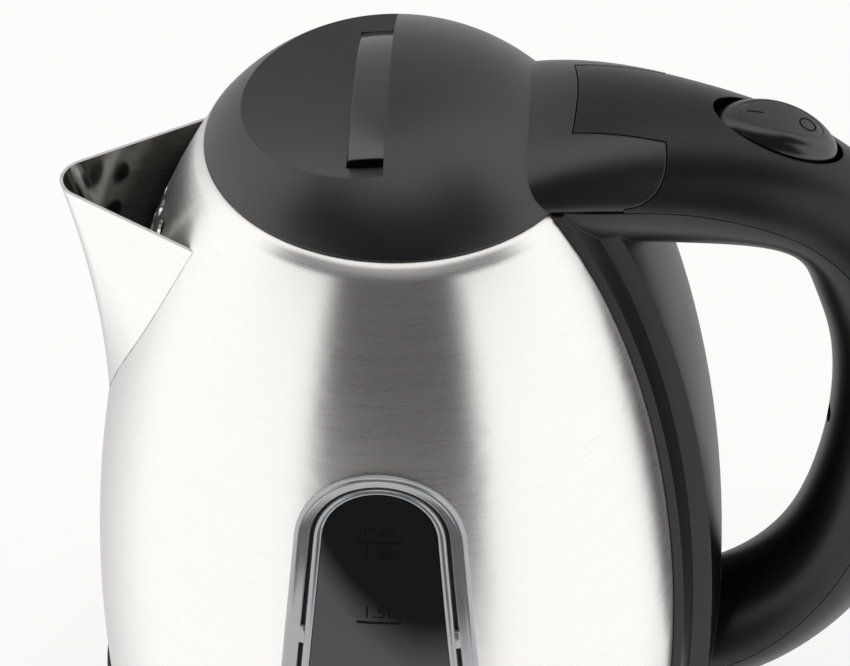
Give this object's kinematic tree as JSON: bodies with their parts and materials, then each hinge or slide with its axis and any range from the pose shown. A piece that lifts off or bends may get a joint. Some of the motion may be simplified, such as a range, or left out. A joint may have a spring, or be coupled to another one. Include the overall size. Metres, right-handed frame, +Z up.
{
  "type": "electric kettle",
  "caption": "Cordless electric kettle with a brushed steel vessel, water window, hinged lid with a sliding release, looped handle with a rocker switch, and a swivel power base.",
  "frame": {"origin": "on the table under the middle of the power base, on the vessel's axis", "axes": "+Z up along the vessel's axis, +X towards the handle, -X towards the spout, -Y towards the water window"},
  "size_m": [0.2191, 0.159, 0.2294],
  "materials": {
    "black_plastic": "fine matt",
    "gloss_black": "gloss",
    "steel": "brushed round the body",
    "clear_plastic": "clear gloss",
    "smoked_pane": "smoked",
    "rubber": "matt",
    "screw_steel": "plated",
    "aluminium": "cast",
    "contact_brass": "plain"
  },
  "bodies": {
    "power_base": {"base_cover": "black_plastic", "base_bottom_plate": "black_plastic", "base_foot_ring": "rubber", "base_screws": "screw_steel", "cord_gland": "rubber"},
    "connector": {"connector_stub": "black_plastic", "connector_contacts": "contact_brass"},
    "kettle": {"steel_body": "steel", "spout": "steel", "bottom_ring": "black_plastic", "bottom_screws": "screw_steel", "heater_plate": "steel", "heat_spreader": "aluminium", "heating_element": "aluminium", "element_terminals": "screw_steel", "kettle_socket": "black_plastic", "socket_contacts": "contact_brass", "thermostat_block": "black_plastic", "bimetal_discs": "contact_brass", "window_frame": "clear_plastic", "window_pane": "smoked_pane", "window_gasket": "rubber", "window_clamp": "black_plastic", "mouth_ring": "black_plastic", "hinge_pin": "screw_steel", "rocker_pin": "screw_steel", "steam_switch_housing": "black_plastic", "steam_bimetal": "contact_brass", "steam_tube": "rubber", "handle_screws": "screw_steel", "handle_inner_shell": "black_plastic", "handle_outer_shell": "black_plastic"},
    "lid": {"lid_cover": "black_plastic", "lid_inner_plate": "black_plastic", "lid_seal": "rubber", "lid_screws": "screw_steel"},
    "lid_release": {"lid_release_bar": "gloss_black", "latch_bolt": "black_plastic", "latch_spring": "screw_steel"},
    "rocker": {"switch_rocker": "gloss_black"},
    "trip": {"trip_lever": "black_plastic"}
  },
  "joints": [
    {"name": "kettle_swivel", "type": "hinge", "parent": "power_base", "child": "connector", "pos_m": [0, 0, 0.0195], "axis": [0, 0, 1], "continuous": true},
    {"name": "kettle_lift", "type": "slide", "parent": "connector", "child": "kettle", "axis": [0, 0, 1], "range_m": [0, 0.12]},
    {"name": "lid_hinge", "type": "hinge", "parent": "kettle", "child": "lid", "pos_m": [0.05439, 0, 0.2155], "axis": [0, 1, 0], "range_deg": [0, 75]},
    {"name": "lid_release_slide", "type": "slide", "parent": "lid", "child": "lid_release", "axis": [1, 0, 0], "range_m": [0, 0.004], "stiffness_N_per_m": 600, "springref_m": -0.001, "deforming": ["latch_spring"]},
    {"name": "rocker_hinge", "type": "hinge", "parent": "kettle", "child": "rocker", "pos_m": [0.08892, 0, 0.20926], "axis": [0, 1, 0], "range_deg": [0, 14]},
    {"name": "trip_hinge", "type": "hinge", "parent": "kettle", "child": "trip", "pos_m": [0.09646, 0, 0.19399], "axis": [0, 1, 0], "range_deg": [-8.5, 0]}
  ],
  "couplings": [
    {"joint": "trip_hinge", "follows": "rocker_hinge", "ratio": -0.6}
  ]
}
